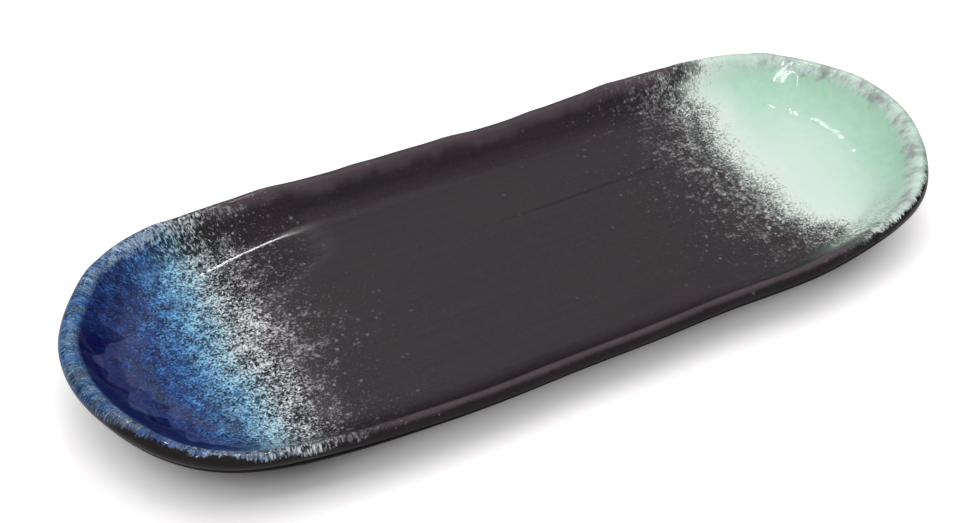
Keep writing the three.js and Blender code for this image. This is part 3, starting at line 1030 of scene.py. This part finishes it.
def with_blue_runs_and_shade_lobes(s, at, colour):
    """Blue: darkest where it lies thick on the near wall. Over that, dark lobes are painted in for the
    dark reflections and shade of the rippled wall, with a paler band along them. Returns the colour and
    the mask of the lobes."""
    runs = s.noise(drawn(s, at, 0.22), 1.6, 3, 0.65)
    thick = s.times(s.rise(at.blue_way, 104, 128), s.rise(at.y, 40, 4), at.wall, s.rise(at.d, 5.5, 8))
    colour = s.coat(s.times(thick, 0.6), colour, s.tint(runs, *BLUE_RUNS))
    # dark lobes of painted reflection and shade, with a paler band along their edge
    lobes = s.plus(at.d, s.times(s.sway(drawn(s, at, 0), 14, 1, 0.4), 30))
    lobe_zone = s.times(s.rise(at.blue_way, 116, 132), s.rise(at.y, 34, 10))
    pale_band = s.times(lobe_zone, s.rise(lobes, 17, 18.5), s.rise(lobes, 32, 20))
    colour = s.coat(s.times(pale_band, s.rise(at.shoal, 0.4, 0.6, 0.46, 0.30)), colour, "#444580")
    painted_dark_lobes = s.times(lobe_zone, s.rise(lobes, 18, 17), s.rise(at.d, 6.5, 8.5))
    return s.coat(s.times(painted_dark_lobes, s.rise(runs, 0.45, 0.62, 0.92, 0.74)), colour, "#040a48"), painted_dark_lobes


def with_furrow_shade(s, at, colour):
    """Dark streaks of painted shade along the near wall where the blue begins, standing in for shallow
    grooves that the shape doesn't have.
    """
    level = s.join(s.times(at.u, 0.14), s.times(at.v, 0.14), at.d)
    furrow_shade = s.rise(s.noise(level, 1.0, 2, 0.6), 0.5, 0.6)
    there = s.times(s.rise(at.blue_way, 72, 88), s.rise(at.blue_way, 126, 110), at.near, at.wall)
    return s.coat(s.times(furrow_shade, there, s.rise(at.d, 6, 10, 0, 0.8)), colour, "#0d0a10")


def blue_lip(s, at, hairs, patch):
    """The blue breaks over the lip to a grey blue, frosted where the spray crosses the lip."""
    specks = s.noise(drawn(s, at, 1), 0.6, 2, 0.65)
    broken = s.plus(s.times(specks, 0.7), s.times(hairs, 0.4), s.times(patch, 0.6), -0.35)
    hue = s.noise(drawn(s, at, 0.8), 4.2, 3, 0.6)
    colour = s.coat(s.rise(at.y, -34, 2), s.tint(broken, *NEAR_LIP), s.tint(broken, *FAR_LIP))
    colour = s.coat(s.rise(hue, 0.46, 0.62, 0, 0.45), colour, "#2f62b4")
    colour = s.coat(s.rise(hue, 0.48, 0.36, 0, 0.45), colour, "#5f6068")
    far_frost = s.times(s.rise(at.y, 24, 50, 0, 0.55), s.rise(at.x, -158, -140))
    near_frost = s.times(s.rise(at.y, -24, -48), s.rise(at.x, -150, -128, 0, 0.7))
    frost = s.times(s.most(far_frost, near_frost), s.rise(broken, 0.42, 0.6))
    return s.coat(frost, colour, "#c6dae4")


def mint_lip(s, at, hairs):
    """The mint breaks over the lip to a pale grey in soft smudges."""
    smudge = s.noise(drawn(s, at, 0.9), 3.6, 4, 0.65)
    smudge = s.plus(s.times(smudge, 0.5), s.times(at.long, 0.4), s.times(hairs, 0.1))
    return s.tint(smudge, *MINT_LIP)


def with_lip(s, at, colour):
    """Lays the broken colours on the lip."""
    hairs = s.noise(drawn(s, at, LIP_DRAW), 0.75, 2, 0.6)
    patch = s.noise(drawn(s, at, 0.8), 2.6, 2, 0.6)
    ragged = s.minus(patch, 0.5)
    blue_here = s.rise(s.plus(at.blue_way, s.times(ragged, 30)), 112, 138)
    colour = s.coat(s.times(at.lip, blue_here, 0.85), colour, blue_lip(s, at, hairs, patch))
    shift = s.plus(s.times(at.near, -6), s.rise(at.y, 24, 44, 0, 14))
    mint_here = s.rise(s.minus(at.mint_way, shift), 94, 112)
    on_top = s.times(s.rise(at.d, 0.5, 6.5, 0.25, 0.95), s.rise(s.plus(at.d, s.times(ragged, 9)), 11.5, 7))
    return s.coat(s.times(on_top, mint_here), colour, mint_lip(s, at, hairs))


def with_teeth(s, at, colour):
    """The black shows between droplets that are drawn out over the outer shoulder."""
    teeth = s.noise(drawn(s, at, LIP_DRAW), 0.6, 2, 0.6)
    coloured = s.most(s.rise(at.blue_way, 70, 100), s.times(s.rise(at.mint_way, 80, 104), at.near))
    shoulder = s.times(s.rise(at.d, 3.8, 2.4), coloured)
    by_blue = s.times(at.near, s.rise(at.x, -134, -120), s.rise(at.x, -70, -90), s.rise(at.d, 9, 5))
    gap = s.times(s.most(shoulder, by_blue), s.rise(teeth, 0.55, 0.46, 0, 0.75))
    return s.coat(gap, colour, OUTER_BLACK)


def top_relief(s, at, glossy, spots):
    """Height in mm: waves of the glaze, an uneven lip, drawn-out streaks and raised droplets."""
    waves = s.times(s.sway(at.place, 10, 1, 0.4), 0.08)
    lumps = s.times(s.sway(at.place, 4.5, 1, 0.4), s.times(at.lip, 0.25))
    streaks = s.blend(at.wall, s.blend(glossy, 0.10, 0.03), 0.0)
    return s.plus(waves, lumps, s.times(s.minus(at.drag, 0.5), streaks), s.times(spots, 0.04))


def finish_surface(s, surface, colour, rough, height):
    s.feed(surface.inputs["Base Color"], colour)
    s.feed(surface.inputs["Roughness"], rough)
    bump = s.add("ShaderNodeBump", {"Strength": 1.0, "Distance": MM, "Height": height})
    s.feed(surface.inputs["Normal"], bump.outputs[0])


def top_glaze(name):
    """The black, the blue and the mint of the top: one painting, of which each coat shows a part."""
    material, s, surface = new_material(name)
    at = Spot(s)
    grain = spray_grain(s, at)
    spots = droplets(s, at)
    spray = spray_colour(s, at)
    plain_black = s.blend(at.minty, s.rise(at.blue_way, 106, 92), s.rise(at.mint_way, 95, 84))
    colour = s.coat(plain_black, coat_colour(s, at), black_colour(s, at))
    colour = s.coat(spray_cover(s, at, grain), colour, spray)
    colour = s.coat(s.times(spots, 0.75), colour, spray)
    colour = with_strokes(s, at, colour)
    colour = with_mint_runs(s, at, grain, colour)
    colour, painted_dark_lobes = with_blue_runs_and_shade_lobes(s, at, colour)
    colour = with_furrow_shade(s, at, colour)
    colour = with_lip(s, at, colour)
    colour = with_teeth(s, at, colour)
    colour = s.coat(fringe_of(s, at), OUTER_BLACK, colour)
    blue_gloss = s.rise(s.plus(at.blue_way, s.rise(at.y, 16, 34, 0, 28)), 84, 110)
    glossy = s.blend(at.minty, blue_gloss, s.rise(at.mint_way, 84, 104))
    rough = s.blend(glossy, 0.42, 0.08)
    rough = s.plus(rough, s.times(s.minus(at.drag, 0.5), s.blend(glossy, 0.12, 0.02)))
    rough = s.plus(rough, s.times(at.lip, s.blend(glossy, 0.14, 0.0)))
    rough = s.blend(s.times(spots, 0.9), rough, 0.12)
    finish_surface(s, surface, colour, rough, top_relief(s, at, glossy, spots))
    # the painted dark lobes reflect less, so that they stay dark
    s.feed(surface.inputs["Specular IOR Level"], s.blend(painted_dark_lobes, 0.5, 0.16))
    return material


def outer_glaze(name):
    """Glossy brown black, with a few droplets of the colours that ran over the lip."""
    material, s, surface = new_material(name)
    at = Spot(s)
    tone = s.noise(at.place, 14, 3, 0.55)
    colour = s.coat(s.rise(tone, 0.35, 0.68), "#0b0709", "#171013")
    coloured = s.most(s.rise(at.blue_way, 96, 122), s.rise(at.mint_way, 98, 112))
    drips = s.times(fringe_of(s, at), coloured, 0.9)
    colour = s.coat(drips, colour, s.coat(at.minty, "#56789c", "#c3d6cc"))
    rough = s.rise(s.noise(at.place, 5, 3, 0.6), 0.3, 0.7, 0.22, 0.32)
    waves = s.times(s.sway(at.place, 8, 2, 0.5), 0.16)
    height = s.plus(waves, s.times(s.sway(at.place, 1.1, 2, 0.5), 0.012))
    finish_surface(s, surface, colour, rough, height)
    surface.inputs["Specular IOR Level"].default_value = 0.035
    return material


def bare_clay(name):
    """Fired buff clay with fine sand, as it shows on the wiped seat of the foot."""
    material, s, surface = new_material(name)
    at = Spot(s)
    tone = s.noise(at.place, 9, 4, 0.6)
    sand = s.noise(at.place, 0.5, 2, 0.6)
    colour = s.coat(s.rise(tone, 0.3, 0.7), "#85705e", "#a08c78")
    colour = s.coat(s.rise(sand, 0.58, 0.68, 0, 0.5), colour, "#5d4c40")
    height = s.plus(s.times(sand, 0.12), s.times(tone, 0.15))
    finish_surface(s, surface, colour, s.rise(tone, 0.2, 0.8, 0.75, 0.92), height)
    return material


clay = bare_clay("bare_stoneware")
black = top_glaze("satin_black_glaze")
gloss = outer_glaze("gloss_black_glaze")
blue = top_glaze("cobalt_blue_glaze")
mint = top_glaze("mint_glaze")

# Pieces
blue_edge = HALF_LENGTH - BLUE_REACH
mint_edge = HALF_LENGTH - MINT_REACH
body_faces = np.concatenate([top_faces, outside_faces, root_faces, panel_faces])
foot_faces = np.concatenate([turned(root_faces), outer_flank_faces, bare_foot_faces, inner_flank_faces])
outer_faces = np.concatenate([outside_faces, outer_flank_faces])
inner_faces = np.concatenate([inner_flank_faces, panel_faces])
on_clay = flat(0)
on_black = flat(BLACK_GLAZE)
add_piece("stoneware_body", body_faces, clay)
add_piece("foot_ring", foot_faces, clay)
add_piece("black_glaze_top", top_faces, black, on_clay, on_black)
add_piece("black_glaze_outside", outer_faces, gloss, on_clay, on_black)
add_piece("black_glaze_underside", inner_faces, gloss, on_clay, on_black)
add_piece(
    "blue_glaze_end", colour_faces(-1, blue_edge), blue,
    on_black, colour_height(blue_edge),
)
add_piece(
    "mint_glaze_end", colour_faces(1, mint_edge), mint,
    on_black, colour_height(mint_edge),
)

# Finish
bpy.context.scene.view_settings.view_transform = "Standard"
